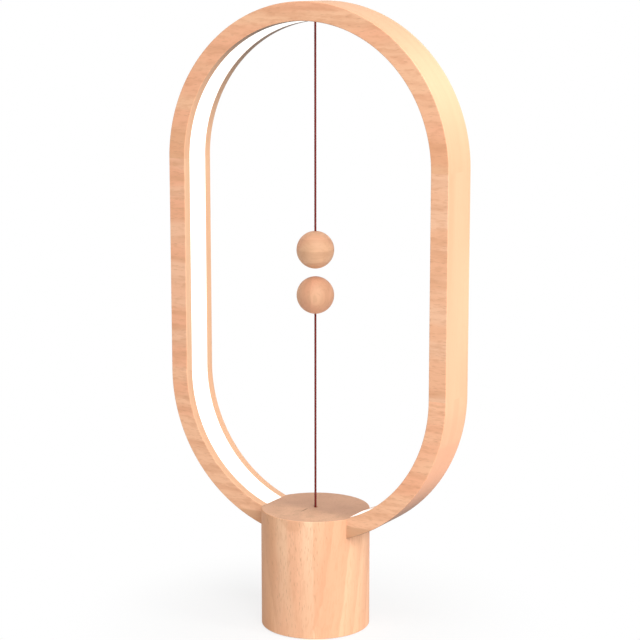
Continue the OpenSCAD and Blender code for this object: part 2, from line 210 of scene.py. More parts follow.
# %% Name a colour
def paint(red, green, blue):
    """A colour of a paint chart, 0 to 255, as the linear colour that nodes take."""
    def linear(part):
        part = part / 255
        return part / 12.92 if part <= 0.04045 else ((part + 0.055) / 1.055) ** 2.4
    return (linear(red), linear(green), linear(blue), 1)


print("middle grey is", round(paint(128, 128, 128)[0], 3))

# %% [markdown]
# ## Floor, room and light
# The lamp stands on a white sweep. The floor has to look white and still show a soft shadow, so
# near the lamp the camera sees a steady white with a little real shading mixed in, and further
# out the white alone. A large soft lamp stands at the front right and another hangs over the
# front. A smaller one stands square to the hoop's right side, so that the hoop's shadow lies
# straight across the base's top. The room lights the rest.

# %% Lay the floor
floor_half = 12.0
floor_paint = (0.88, 0.88, 0.88, 1)
plain_white = (1, 1, 1, 1)
shading_share = 0.2
shading_ends = (0.06, 0.17)


def add_floor():
    mesh = bpy.data.meshes.new("floor")
    corners = [(-floor_half, -floor_half, 0), (floor_half, -floor_half, 0),
               (floor_half, floor_half, 0), (-floor_half, floor_half, 0)]
    mesh.from_pydata(corners, [], [(0, 1, 2, 3)])
    floor = bpy.data.objects.new("floor", mesh)
    bpy.context.scene.collection.objects.link(floor)
    finish = Finish("floor_white")
    shaded = finish.node("BsdfDiffuse", None, {"Color": floor_paint})
    white = finish.node("Emission", None, {"Color": plain_white, "Strength": 1.0})
    distance = finish.vector("LENGTH", finish.place(), output="Value")
    share = shading_share * (1 - distance.step(*shading_ends))
    seen = finish.node("MixShader", None, {0: share, 1: white, 2: shaded})
    rays = finish.node("LightPath", output="Is Camera Ray")
    both = finish.node("MixShader", None, {0: rays, 1: shaded, 2: seen})
    finish.node("OutputMaterial", None, {"Surface": both})
    mesh.materials.append(finish.material)


add_floor()
print(f"floor {2 * floor_half:.0f} m across")

# %% Light the room
room_strength = 0.35


def add_room():
    room = Finish("room", "worlds")
    bpy.context.scene.world = room.material
    rays = room.node("LightPath", output="Is Camera Ray")
    mirrored = rays.maths("MAXIMUM", rays, rays.output("Is Glossy Ray"))
    shown = rays.maths("MAXIMUM", mirrored, rays.output("Is Transmission Ray"))
    dim = room.node("Background", None, {"Color": plain_white, "Strength": room_strength})
    white = room.node("Background", None, {"Color": plain_white, "Strength": 1.0})
    mixed = room.node("MixShader", None, {0: shown, 1: dim, 2: white})
    room.node("OutputWorld", None, {"Surface": mixed})


add_room()
print("room at", room_strength)

# %% Hang the soft lamps
# Each lamp has a place, a width in metres and a power in watts.
soft_lamps = {
    "key": (Vector((1.55, -1.0, 1.15)), 1.3, 18),
    "side": (Vector((1.73, 0, 1.2)), 0.5, 13),
    "over": (Vector((0.58, -1.0, 1.84)), 1.0, 15),
}


def add_soft_lamp(name, place, size, watts):
    """A square lamp that faces the middle of the object."""
    data = bpy.data.lights.new(name, "AREA")
    data.size = size
    data.energy = watts
    lamp = bpy.data.objects.new(name, data)
    lamp.location = place
    lamp.rotation_euler = (look_at - place).to_track_quat("-Z", "Y").to_euler()
    bpy.context.scene.collection.objects.link(lamp)


for lamp_name, (lamp_place, lamp_size, lamp_watts) in soft_lamps.items():
    add_soft_lamp(lamp_name, lamp_place, lamp_size, lamp_watts)
print(len(soft_lamps), "soft lamps")

# %% [markdown]
# ## Beech
# Beech is a pale pinkish wood. Its mark is the fleck: a short dark dash, two to five millimetres
# long and as thin as a pencil line, always along the grain. Under the flecks lie fine fibres and
# broad bands of warmer and cooler wood. The bands and fibres are noises that are stretched along
# the grain, and a fleck is a long thin drop round the centre of a Voronoi cell. Each wooden piece
# carries its own coordinates in an attribute called `grain`: first the distance along the grain,
# then two distances across it, in metres. That way the grain follows a bent piece, which no
# box-shaped projection could do.

# %% Scatter flecks
fleck_cell = (5.6 * MM, 1.1 * MM, 3 * MM)
fleck_half = (2 * MM, 0.15 * MM, 1.1 * MM)


def drops(finish, grain, share):
    """A mask with a long thin drop in a share of the cells."""
    cells = finish.vector("DIVIDE", grain, fleck_cell)
    centre = finish.node("TexVoronoi", None, {"Vector": cells, "Scale": 1.0}, output="Position")
    away = finish.vector("SUBTRACT", cells, centre)
    in_drop = [cell / half for cell, half in zip(fleck_cell, fleck_half)]
    reach = finish.vector("LENGTH", finish.vector("MULTIPLY", away, in_drop), output="Value")
    chance = finish.node("SeparateColor", None, {"Color": centre.output("Color")})
    return (1 - reach.step(0.4, 1.0)) * (chance > 1 - share)


print(f"flecks up to {2 * fleck_half[0] / MM:.0f} mm long")

# %% Describe beech once
fleck_brown = paint(150, 98, 70)
sway_lumps = (110, 110, 110)
sway_reach = (0, 1.8 * MM, 1.8 * MM)
fibre_relief = 0.08 * MM


def beech(name, pale, warm, deep, band, fibre, flecks, depths, late_wood=None, tint=None):
    """A beech finish in three tones. band and fibre are lumps a metre along and across, and
    flecks is their share. depths says how strongly the bands, fibres and flecks show.
    late_wood and tint are functions that add year rings or a tint to the wood's colour."""
    band_depth, fibre_depth, fleck_depth = depths
    finish = Finish(name)
    grain = finish.node("Attribute", {"attribute_name": "grain"}, output="Vector")
    sway = finish.noise(grain, sway_lumps, 1.0)
    swayed = finish.vector("MULTIPLY_ADD", sway.output("Color"), sway_reach, grain)
    tone = finish.noise(swayed, (band[0], band[1], band[1]), 3.0, 0.55)
    hue = finish.noise(swayed, (band[0] * 0.6, band[1] * 0.35, band[1] * 0.35), 1.0)
    fibres = finish.noise(swayed, (fibre[0], fibre[1], fibre[1]), 2.0, 0.6)
    spots = drops(finish, swayed, flecks)
    wood = finish.mix(hue.step(0.4, 0.6), pale, warm)
    wood = finish.mix(band_depth * tone.step(0.42, 0.72), wood, deep)
    if tint:
        wood = tint(finish, swayed, wood)
    if late_wood:
        spots, wood = late_wood(finish, swayed, spots, wood, deep)
    wood = finish.mix(fibre_depth * fibres.step(0.45, 0.7), wood, deep)
    colour = finish.mix(fleck_depth * spots, wood, fleck_brown)
    relief = 0.5 * fibres + 0.5 * (1 - spots)
    return finish.surface(
        Base_Color=colour,
        Roughness=0.46 + 0.12 * fibres,
        Specular_IOR_Level=0.3,
        Normal=finish.bump(relief, fibre_relief),
    )


print(f"grain sways by up to {sway_reach[1] / MM} mm")

# %% [markdown]
# ### What makes each face its own
# No two boards are alike, and a piece that is plain beech all over looks printed. So each place
# where the wood differs gets a small function of its own, which works on the wood's colour
# before the fibres and flecks go over it. Some of these functions also paint light and shade.
#
# - Year rings show on the base and the balls. Each ring turns slowly from pale to deep and then
#   breaks off at the next spring's pale wood. The base's flecks thin out in its younger rings.
# - The base's side is ochre on the left. Then come a pale stripe, a pink band that leans with
#   the rings, and plain sapwood. Its end grain is darker at the back, a painted shadow of the
#   hoop.
# - Both half rings have a streak of darker heart wood on their faces.
# - The outer face of the upper half ring has a painted highlight, palest half-way between the
#   crown and the stiles. The lower one has growth lines with warmer wood below them, and painted
#   shade that warms and darkens it towards the bottom, dark underneath. The right-hand
#   stile has pale sapwood along its back edge.
# - The lips beside the light channel darken towards the crown: this is painted shade.
#
# The last two follow the shape of the hoop and not its grain, so they are read from an
# attribute called `tone`, which is written on the finished mesh.

# %% Draw year rings
ring_break = 0.95
ring_wander = (9, 30, 30)


def year_rings(width, start, strength, bark_side):
    """Rings of a width. start is the share of a ring that is left at the pith, strength is how
    deep late wood is, and the flecks thin out past the bark side."""
    def late_wood(finish, grain, spots, wood, deep):
        radius = finish.node("SeparateXYZ", None, {"Vector": grain}, output="Z")
        wander = finish.noise(grain, ring_wander, 1.0)
        ring = (radius * (1 / width) + start + 0.5 * wander).fraction()
        late = ring.step(1 - ring_break, ring_break) * (1 - ring.step(ring_break, 1.0))
        wood = finish.mix(late * strength, wood, deep)
        return spots * (1 - 0.85 * radius.step(*bark_side)), wood
    return late_wood


print(f"late wood ends at {ring_break:.0%} of a ring")

# %% Tint a board or the block
ochre_fades = (-24 * MM, -13 * MM)
stripe_rises, stripe_ends = (-3.1 * MM, 5.9 * MM), (6.5 * MM, 7.7 * MM)
band_rises, band_fades = (5.9 * MM, 10.4 * MM), (12.9 * MM, 16.9 * MM)
band_lean = 0.08
sapwood_rises = (4 * MM, 13 * MM)
# Distances from the pith over which the painted shadow of the hoop sets in on the base's top.
hoop_shadow_fades = (178 * MM, 190 * MM)


def heart_streak(share, fades, brown):
    """A tint for the foot of a board's face. fades gives the heights where it thins out."""
    def tint(finish, grain, wood):
        height = finish.node("SeparateXYZ", None, {"Vector": grain}, output="Y")
        return finish.mix(share * (1 - height.step(*fades)), wood, brown)
    return tint


def block_tint(finish, grain, wood):
    """Stripes up the base's side, from the left: ochre, a pale stripe with a sharp right edge, a
    leaning pink band and plain sapwood."""
    across = finish.node("SeparateXYZ", None, {"Vector": grain}, output="Y")
    leaning = across - band_lean * across.output("X")
    stripe = across.step(*stripe_rises) * (1 - across.step(*stripe_ends))
    band = leaning.step(*band_rises) * (1 - leaning.step(*band_fades))
    wood = finish.mix(0.6 * across.step(*sapwood_rises), wood, paint(246, 191, 151))
    wood = finish.mix(0.6 * stripe, wood, paint(254, 214, 177))
    wood = finish.mix(0.5 * band, wood, paint(246, 172, 134))
    return finish.mix(0.5 - 0.5 * across.step(*ochre_fades), wood, paint(216, 160, 112))


def hoop_shadow_tint(finish, grain, wood):
    """A painted shadow of the hoop: the base's top is darker away from the pith, at the back."""
    radius = finish.node("SeparateXYZ", None, {"Vector": grain}, output="Z")
    return finish.mix(0.6 * radius.step(*hoop_shadow_fades), wood, paint(194, 146, 118))


print(f"pink band about {(band_fades[0] - band_rises[0]) / MM:.0f} mm wide")

# %% Tint by tone
# The tones over which the outer faces darken into painted shade.
painted_shade_tones = (0.8, 2)


def outer_tint_with_painted_light(finish, grain, wood):
    """The outer faces: pale up to a tone of 1, which is a painted highlight on the upper half
    ring and sapwood on the right-hand stile; warm down to -1, and beyond that a dark painted
    shade.
    """
    tone = finish.node("Attribute", {"attribute_name": "tone"}, output="Fac")
    wood = finish.mix(tone.step(0, 1), wood, paint(252, 232, 188))
    wood = finish.mix((0 - tone).step(0, 1), wood, paint(246, 180, 142))
    return finish.mix((0 - tone).step(*painted_shade_tones), wood, paint(126, 96, 78))


def lip_painted_shade(finish, grain, wood):
    """The lips: painted shade, dark at a tone of -1."""
    tone = finish.node("Attribute", {"attribute_name": "tone"}, output="Fac")
    return finish.mix(0.9 * (0 - tone).step(0, 1), wood, paint(110, 96, 86))


print("darkening starts at a tone of", -painted_shade_tones[0])

# %% Mix the hoop's beech
seed_step = 0.37
foot_streak = (73.5 * MM, 75.2 * MM)
shoulder_streak = (2 * seed_step + 315 * MM, 2 * seed_step + 327 * MM)


def face_of(board, pale, warm, deep, tint=None):
    """The front and back of one glued piece, which comes from a board of its own."""
    return beech("beech_" + board, paint(*pale), paint(*warm), paint(*deep), (14, 170),
                 (110, 430), 0.6, (0.5, 0.4, 0.35), tint=tint)


face_beech = {
    "hoop_lower_arch": face_of("lower_board", (250, 195, 156), (248, 183, 144),
                               (215, 153, 114),
                               heart_streak(0.6, foot_streak, paint(196, 150, 112))),
    "hoop_right_stile": face_of("right_board", (247, 197, 161), (242, 184, 145),
                                (214, 154, 115)),
    "hoop_upper_arch": face_of("upper_board", (247, 194, 155), (245, 182, 144),
                               (217, 154, 116),
                               heart_streak(0.35, shoulder_streak, paint(214, 156, 109))),
    "hoop_left_stile": face_of("left_board", (247, 194, 158), (245, 181, 143),
                               (216, 155, 115)),
}
edge_grain = dict(band=(5, 120), fibre=(30, 900), flecks=0.1, depths=(0.35, 0.1, 0.2))
edge_beech = beech("beech_edge", paint(237, 191, 151), paint(239, 186, 146),
                   paint(226, 172, 132), tint=outer_tint_with_painted_light, **edge_grain)
rim_beech = beech("beech_rim", paint(238, 192, 154), paint(238, 186, 148),
                  paint(214, 164, 128), tint=lip_painted_shade, **edge_grain)
print(len(face_beech), "boards, the outer faces and the lips")

# %% Mix the beech of the base and the balls
base_rings = year_rings(12.5 * MM, 0.28, 0.38, (163 * MM, 169 * MM))
turned_beech = beech("beech_turned", paint(249, 202, 164), paint(248, 192, 154),
                     paint(218, 158, 120), (14, 160), (80, 900), 0.9, (0.2, 0.3, 0.55),
                     late_wood=base_rings, tint=block_tint)
end_beech = beech("beech_end_grain", paint(228, 178, 142), paint(218, 168, 134),
                  paint(198, 152, 119), (70, 130), (300, 1300), 0.4, (0.6, 0.3, 0.4),
                  tint=hoop_shadow_tint)
# The walls of the drying check get a dark brown that is painted shade.
check_painted_shade = beech("beech_check_painted_shade", paint(110, 74, 54), paint(100, 66, 48),
                    paint(84, 54, 38), (14, 160), (80, 900), 0.0, (0.5, 0.4, 0.0))
past_the_ball = (0.9, 1.0)
ball_rings = year_rings(7.6 * MM, 0.0, 0.22, past_the_ball)
ball_beech = beech("beech_ball", paint(227, 179, 142), paint(225, 166, 132),
                   paint(184, 132, 98), (12, 150), (80, 1100), 0.1, (0.3, 0.2, 0.2),
                   late_wood=ball_rings)
print(sum(made.name.startswith("beech") for made in bpy.data.materials), "beech finishes")

# %% [markdown]
# ## Meshes with a grain
# A mesh is gathered face by face, and each corner of a face is given its place in the grain as
# it is made. The alternative, unwrapping afterwards, would lose the true distances that the
# beech finish needs. A weighted normal modifier keeps the flat faces flat in the shading beside
# their narrow eased edges.

# %% Gather faces into a piece
class Shape:
    """Points and faces of one piece, with a finish for each face and a grain for each corner."""

    def __init__(self):
        self.points = []
        self.faces = []
        self.finishes = []
        self.grain = []

    def add_points(self, points):
        """Adds points and gives their numbers."""
        start = len(self.points)
        self.points.extend(points)
        return list(range(start, len(self.points)))

    def add_face(self, corners, finish=0, grain=None):
        self.faces.append(corners)
        self.finishes.append(finish)
        self.grain.extend(grain or [self.points[corner] for corner in corners])

    def make_object(self, name, finishes=()):
        mesh = bpy.data.meshes.new(name)
        mesh.from_pydata([tuple(point) for point in self.points], [], self.faces)
        for finish in finishes:
            mesh.materials.append(finish)
        mesh.polygons.foreach_set("material_index", self.finishes)
        attribute = mesh.attributes.new("grain", "FLOAT_VECTOR", "CORNER")
        attribute.data.foreach_set("vector", [part for place in self.grain for part in place])
        made = bpy.data.objects.new(name, mesh)
        bpy.context.scene.collection.objects.link(made)
        return made


print("pieces can be gathered")

# %% Cut a piece and hand it over
def cut_away(piece, cutters):
    """Takes the volume of each cutter out of a piece, for good."""
    tools = [cutter.make_object("cutter") for cutter in cutters]
    for tool in tools:
        boolean = piece.modifiers.new("cut", "BOOLEAN")
        boolean.operation, boolean.solver, boolean.object = "DIFFERENCE", "EXACT", tool
    done = piece.evaluated_get(bpy.context.evaluated_depsgraph_get())
    mesh = bpy.data.meshes.new_from_object(done)
    piece.modifiers.clear()
    piece.data = mesh
    for tool in tools:
        bpy.data.objects.remove(tool)


def hand_over(piece, body, slot, *nodes):
    """Shades a finished mesh, sets it on its body and puts it in the place of its nodes."""
    piece.data.shade_smooth()
    piece.data.set_sharp_from_angle(angle=math.radians(40))
    piece.modifiers.new("flat faces", "WEIGHTED_NORMAL").keep_sharp = True
    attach(piece, body)
    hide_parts(*nodes)
    print(f"{piece.name}: {len(piece.data.polygons)} faces")


print("pieces can be cut")

# %% [markdown]
# ## Sweeping round the hoop
# The hoop is one cross-section carried round two half circles and two straight runs. A curve
# with a bevel object could do that, but the four glued pieces, their ends and the direction of
# their grain would be hard to reach. So the sweep is made station by station. A station is an
# angle about an arch's centre and that centre's height, and it places every point of the
# section, whose first number is the distance from the centre and whose second is the depth.

# %% Ease an outline
def eased(corners, radii, steps=4):
    """A right-angled outline whose corners are eased by arcs of their own radius."""
    points = []
    for index, radius in enumerate(radii):
        corner = Vector(corners[index])
        back = (Vector(corners[index - 1]) - corner).normalized()
        ahead = (Vector(corners[(index + 1) % len(corners)]) - corner).normalized()
        for step in range(steps + 1 if radius else 1):
            turn = math.pi / 2 * step / steps
            points.append(corner + radius * ((1 - math.sin(turn)) * back
                                             + (1 - math.cos(turn)) * ahead))
    return points


square = [(0, 0), (MM, 0), (MM, MM), (0, MM)]
print(len(eased(square, [0.1 * MM] * 4)), "points round an eased square")

# %% Sweep a section
def arch_stations(centre_z, start, end, step=1.0):
    count = max(1, round(abs(end - start) / step))
    return [(math.radians(start + (end - start) * i / count), centre_z)
            for i in range(count + 1)]


def stile_stations(angle, from_z, to_z, count=14):
    return [(math.radians(angle), from_z + (to_z - from_z) * i / count)
            for i in range(count + 1)]


def sweep(section, stations, seed=0.0, finish_count=1):
    """Carries a section along stations. The front and back get the first finish and a level
    grain. The outer face gets the second and the inner faces the third, along the path."""
    shape = Shape()
    rings = []
    along = [0.0]
    middle = (inner_r + outer_r) / 2
    places = [Vector((middle * math.cos(a), 0, z + middle * math.sin(a))) for a, z in stations]
    for before, after in zip(places, places[1:]):
        along.append(along[-1] + (after - before).length)
    for angle, centre_z in stations:
        rings.append(shape.add_points([
            (r * math.cos(angle), y, centre_z + r * math.sin(angle)) for r, y in section]))
    count = len(section)
    for i in range(count):
        j = (i + 1) % count
        step = section[j] - section[i]
        level = abs(step.x) > abs(step.y)
        is_outer = (section[i].x + section[j].x) / 2 > middle
        finish = 0 if level else min(1 if is_outer else 2, finish_count - 1)
        for k in range(len(rings) - 1):
            corners = [rings[k][i], rings[k][j], rings[k + 1][j], rings[k + 1][i]]
            if level:
                grain = [(x, z + seed, y + seed) for x, y, z in
                         (shape.points[corner] for corner in corners)]
            else:
                grain = [(along[k + up] + seed, section[edge].y, section[edge].x + seed)
                         for up, edge in ((0, i), (0, j), (1, j), (1, i))]
            shape.add_face(corners, finish, grain)
    shape.add_face(rings[0][::-1])
    shape.add_face(rings[-1])
    return shape


print(len(arch_stations(lower_z, 180, 360)), "stations round a half ring")

# %% [markdown]
# ## The hoop
# The hoop is taken to be glued up from two half rings and two stiles, as such hoops often are.
# The front and back show level grain. The outer and inner faces show long streaks round the
# hoop. The groove for the light is milled into the inner face, and all long edges are eased.

# %% Shape holes and turned pieces
def arc(centre, radius, start, end, steps):
    """Points round a centre, between two angles in degrees."""
    turns = [math.radians(start + (end - start) * i / steps) for i in range(steps + 1)]
    return [(centre[0] + radius * math.cos(t), centre[1] + radius * math.sin(t)) for t in turns]


def lathe(profile, segments=160, place=(0, 0)):
    """Turns a closed profile of radius and height about an upright axis. The profile runs
    out along the top, down the outside and back."""
    shape = Shape()
    rings = []
    for r, z in profile:
        turns = [math.tau * k / segments for k in range(segments)] if r else [0]
        ring = shape.add_points([
            (place[0] + r * math.cos(t), place[1] + r * math.sin(t), z) for t in turns])
        rings.append(ring if r else ring * segments)
    for above, below in zip(rings, rings[1:] + rings[:1]):
        for k in range(segments):
            after = (k + 1) % segments
            corners = [above[k], below[k], below[after], above[after]]
            corners = list(dict.fromkeys(corners))
            if len(corners) > 2:
                shape.add_face(corners)
    return shape


def rod(radius, low, high, place=(0, 0)):
    """A plain rod that drills a hole."""
    return lathe([(0, high), (radius, high), (radius, low), (0, low)], 48, place)


print(len(rod(MM, 0, MM).faces), "faces on a drill rod")

# %% Draw the hoop
edge_r = 0.6 * MM
groove_edge_r = 0.15 * MM
hoop_section = eased(
    [(outer_r, -half_depth), (outer_r, half_depth), (inner_r, half_depth),
     (inner_r, groove_half), (groove_r, groove_half), (groove_r, -groove_half),
     (inner_r, -groove_half), (inner_r, -half_depth)],
    [edge_r, edge_r, edge_r, groove_edge_r, 0, 0, groove_edge_r, edge_r])
hoop_paths = {
    "hoop_lower_arch": arch_stations(lower_z, 180, 360),
    "hoop_right_stile": stile_stations(0, lower_z, upper_z),
    "hoop_upper_arch": arch_stations(upper_z, 0, 180),
    "hoop_left_stile": stile_stations(180, upper_z, lower_z),
}
print("stations:", {node: len(path) for node, path in hoop_paths.items()})

# %% Lay the hoop's tones
# A painted highlight on the upper half ring's outer face: its angle, its spread and its strength.
shoulder_turn, shoulder_spread, shoulder_highlight = 33, 22, 0.38
# Each line has a height, the way down in which it sets in, and a change of tone. Together
# they warm and darken the wood towards the bottom: the first two are growth lines and partly
# painted shade, and the last, with its long fade, is painted shade on the underside.
growth_and_shade_lines = ((151 * MM, 3 * MM, 0.35), (132.5 * MM, 3 * MM, 0.4), (118 * MM, 50 * MM, 1.25))
sapwood_z, sapwood_reach, sapwood_pale = 220 * MM, 50 * MM, 0.3


def lay_tone(piece, tone_at):
    """Writes a tone at each point: pale above 0, warm down to -1 and dark beyond that. Some of
    these tones are painted light and shade.
    """
    tone = piece.data.attributes.new("tone", "FLOAT", "POINT")
    tone.data.foreach_set("value", [tone_at(vertex.co) for vertex in piece.data.vertices])


def on_lip(point, centre_z):
    """Whether a point of a half ring belongs to its inner side."""
    return math.hypot(point.x, point.z - centre_z) < (inner_r + outer_r) / 2


def shoulder_painted_light(point):
    """A painted highlight, palest half-way between the crown and the stiles. On the lips a
    painted shade darkens up to the crown, the back one sooner."""
    turn = math.atan2(point.z - upper_z, abs(point.x))
    # On the lips the tone is painted shade, which deepens up to the crown.
    if on_lip(point, upper_z):
        return -math.sin(turn) ** (2 if point.y < 0 else 1)
    away = (math.degrees(turn) - shoulder_turn) / shoulder_spread
    return shoulder_highlight * math.exp(-away ** 2)


def foot_tone_and_painted_shade(point):
    """Warmer below each line of the lower half ring, which is partly growth lines and partly
    painted shade, and painted shade that is dark underneath.
    """
    if on_lip(point, lower_z):
        return 0
    return -sum(change * max(0, min(1, (line - point.z) / fade))
                for line, fade, change in growth_and_shade_lines)


def stile_tone(point):
    """Paler sapwood along the back edge of the right-hand stile."""
    away = (point.z - sapwood_z) / sapwood_reach
    return sapwood_pale * max(0, point.y / half_depth) * max(0, 1 - away ** 2)


outer_tone = {"hoop_upper_arch": shoulder_painted_light, "hoop_lower_arch": foot_tone_and_painted_shade,
              "hoop_right_stile": stile_tone}
print("tones for", ", ".join(outer_tone))

# %% Sweep, drill and tone each piece
guide_hole_r, wire_hole_r, anchor_hole_r = 2.25 * MM, 2 * MM, 1.3 * MM
wire_x = 22 * MM
anchor_low = upper_z + inner_r
hoop_holes = {
    "hoop_lower_arch": [rod(guide_hole_r, 50 * MM, 90 * MM),
                        rod(wire_hole_r, 50 * MM, 80 * MM, (wire_x, 0))],
    "hoop_upper_arch": [rod(anchor_hole_r, anchor_low - 2 * MM, anchor_low + 10.2 * MM)],
}
for number, (node, path) in enumerate(hoop_paths.items()):
    shape = sweep(hoop_section, path, seed=seed_step * number, finish_count=3)
    finishes = [face_beech[node], edge_beech, rim_beech]
    piece = shape.make_object(node.replace("hoop", "beech"), finishes)
    if node in hoop_holes:
        cut_away(piece, hoop_holes[node])
    if node in outer_tone:
        lay_tone(piece, outer_tone[node])
    hand_over(piece, "lamp", "beech", node)

# %% [markdown]
# ## The light
# A channel of opal plastic is pressed into the groove, over the row of LEDs. Lit, it is an even
# white. It gives the wood beside it a soft glow. It is one sweep all the way round, open only
# inside the base.

# %% Make the light channel
channel_end = 17.1
channel_t = 1.2 * MM
leg_t = 1.0 * MM
lip_r = 0.3 * MM
channel_half = channel_high.y
channel_section = eased(
    [(inner_r, -channel_half), (channel_high.x, -channel_half),
     (channel_high.x, leg_t - channel_half), (inner_r + channel_t, leg_t - channel_half),
     (inner_r + channel_t, channel_half - leg_t), (channel_high.x, channel_half - leg_t),
     (channel_high.x, channel_half), (inner_r, channel_half)],
    [lip_r, 0, 0, 0, 0, 0, 0, lip_r])
channel_path = (arch_stations(lower_z, 270 + channel_end, 360)
                + stile_stations(0, lower_z, upper_z)[1:]
                + arch_stations(upper_z, 0, 180)[1:]
                + stile_stations(180, upper_z, lower_z)[1:]
                + arch_stations(lower_z, 180, 270 - channel_end)[1:])


def opal_plastic():
    finish = Finish("opal_plastic")
    cloud = finish.noise(finish.place(), (260, 260, 260), 2.0)
    white = finish.mix(cloud, (0.9, 0.9, 0.88, 1), (0.94, 0.94, 0.93, 1))
    return finish.surface(
        Base_Color=white,
        Roughness=0.42 + 0.08 * cloud,
        Emission_Color=(1, 0.985, 0.96, 1),
        Emission_Strength=0.55,
        Normal=finish.bump(cloud, 0.00002),
    )


opal = opal_plastic()
channel = sweep(channel_section, channel_path).make_object("light_channel", [opal])
cut_away(channel, [rod(anchor_hole_r, anchor_low - 5 * MM, anchor_low + 3 * MM)])
hand_over(channel, "lamp", "opal", "diffuser")

# %% [markdown]
# ## The base
# The base is turned on a lathe from one block with upright grain, hollowed from below, and then
# milled with a curved slot that the hoop is threaded through. The same order works here: a
# turned profile first, then the slot, the socket's opening and the holes are cut away. Its grain
# is taken from a pith that lies well outside the block, in front, and leans a little, so the year
# rings show as a few long slanting bands, and the flecks face the front. The end grain has one
# short drying check, which runs towards the heart. It is cut for real, with upright walls. The
# lamps light the wall that shows, so the walls get a dark brown that is painted shade.

# %% Draw the base
base_low_z = base_low.z
hollow_r, hollow_top = 25 * MM, 56 * MM
rebate_r, rebate_top = 31 * MM, 4.5 * MM
guide_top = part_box("string_guide")[1].z + 0.05 * MM
string_hole_r = 1.5 * MM
side_rings = 16
side_top, side_foot = base_top - edge_r, base_low_z + edge_r
base_profile = (
    [(string_hole_r, base_top), (base_r / 2, base_top)]
    + arc((base_r - edge_r, side_top), edge_r, 90, 0, 5)
    + [(base_r, side_top + (side_foot - side_top) * i / side_rings)
       for i in range(1, side_rings)]
    + arc((base_r - edge_r, side_foot), edge_r, 0, -90, 5)
    + [(rebate_r, base_low_z), (rebate_r, rebate_top), (hollow_r, rebate_top),
       (hollow_r, hollow_top), (guide_hole_r, hollow_top), (guide_hole_r, guide_top),
       (string_hole_r, guide_top)])
print(f"a profile of {len(base_profile)} points")

# %% Shape the cutters
def prism(outline, from_y, to_y):
    """A block with an outline in X and Z, between two depths."""
    shape = Shape()
    near = shape.add_points([(x, from_y, z) for x, z in outline])
    far = shape.add_points([(x, to_y, z) for x, z in outline])
    for i in range(len(outline)):
        j = (i + 1) % len(outline)
        shape.add_face([near[i], near[j], far[j], far[i]])
    shape.add_face(near[::-1])
    shape.add_face(far)
    return shape


def stadium(centre_z, width, height, steps=16):
    """A slot outline with round ends."""
    radius = height / 2
    reach = width / 2 - radius
    return (arc((reach, centre_z), radius, 90, -90, steps)
            + arc((-reach, centre_z), radius, 270, 90, steps))


def drying_check(start, end, width, depth):
    """A cutter for a crack from drying, widest in its middle and closed at both ends."""
    shape = Shape()
    start, end = Vector(start), Vector(end)
    middle = (start + end) / 2
    side = width / 2 * Vector((end.y - start.y, start.x - end.x)).normalized()
    plan = (start, middle + side, end, middle - side)
    above = shape.add_points([(*place, base_top + MM) for place in plan])
    floor = shape.add_points([(*place, base_top - depth) for place in plan])
    for i in range(4):
        j = (i + 1) % 4
        shape.add_face([above[j], above[i], floor[i], floor[j]])
    shape.add_face(above)
    shape.add_face(floor[::-1])
    return shape


print("cutters are ready")

# %% Turn and mill the base
slot_gap = 0.1 * MM
slot_start, slot_end = 235, 305
slot_section = [Vector(corner) for corner in (
    (inner_r - slot_gap, -half_depth - slot_gap), (outer_r + slot_gap, -half_depth - slot_gap),
    (outer_r + slot_gap, half_depth + slot_gap), (inner_r - slot_gap, half_depth + slot_gap))]
socket_z = 16.25 * MM
pocket_half, pocket_top, pocket_back = 6.6 * MM, 20.25 * MM, 28.5 * MM
pocket_outline = [(-pocket_half, pocket_top), (pocket_half, pocket_top),
                  (pocket_half, 0), (-pocket_half, 0)]
recess_w, recess_h, recess_front, outside_y = 15.2 * MM, 10.2 * MM, 27.5 * MM, 36 * MM
check_heart, check_bark = (-2.5 * MM, -14.8 * MM), (-2.5 * MM, -4.3 * MM)
check_width, check_depth = 0.6 * MM, 3 * MM
base_cuts = [
    drying_check(check_heart, check_bark, check_width, check_depth),
    sweep(slot_section, arch_stations(lower_z, slot_start, slot_end)),
    prism(pocket_outline, 0, pocket_back),
    prism(stadium(socket_z, recess_w, recess_h), recess_front, outside_y),
    rod(wire_hole_r, 55 * MM, 72 * MM, (wire_x, 0)),
]
base = lathe(base_profile, 192).make_object(
    "turned_base", [turned_beech, end_beech, check_painted_shade])
cut_away(base, base_cuts)
print(len(base_cuts), "cuts in the base")

# %% Lay the base's grain
pith = (10.4 * MM, -199.3 * MM)
lean = (0.0068, -0.13)
round_r = 160 * MM


def lay_grain(piece, place_in_grain, finish_of=None):
    """Writes the grain of each corner from its place, and picks the finish of each face."""
    mesh = piece.data
    grain = mesh.attributes["grain"].data
    for face in mesh.polygons:
        if finish_of:
            face.material_index = finish_of(face)
        for loop in face.loop_indices:
            point = mesh.vertices[mesh.loops[loop].vertex_index].co
            grain[loop].vector = place_in_grain(point)


def base_grain(point):
    """Height, then the way round the pith, as far as it is at round_r, and the distance."""
    x = point.x - pith[0] + lean[0] * point.z
    y = point.y - pith[1] + lean[1] * point.z
    radius = math.hypot(x, y)
    return (point.z, round_r * math.atan2(x, y), radius)


def base_finish(face):
    """0 on the turned sides, 1 on the end grain and 2, a dark painted shade, on the walls of the
    drying check.
    """
    x, y, z = face.center
    if face.normal.z > 0.9 and z > base_top - MM:
        return 1
    beside = abs(x - check_heart[0]) < MM and check_heart[1] < y < check_bark[1]
    return 2 if beside and z > base_top - check_depth - MM / 2 else 0


lay_grain(base, base_grain, base_finish)
hand_over(base, "lamp", "beech", "base_body")

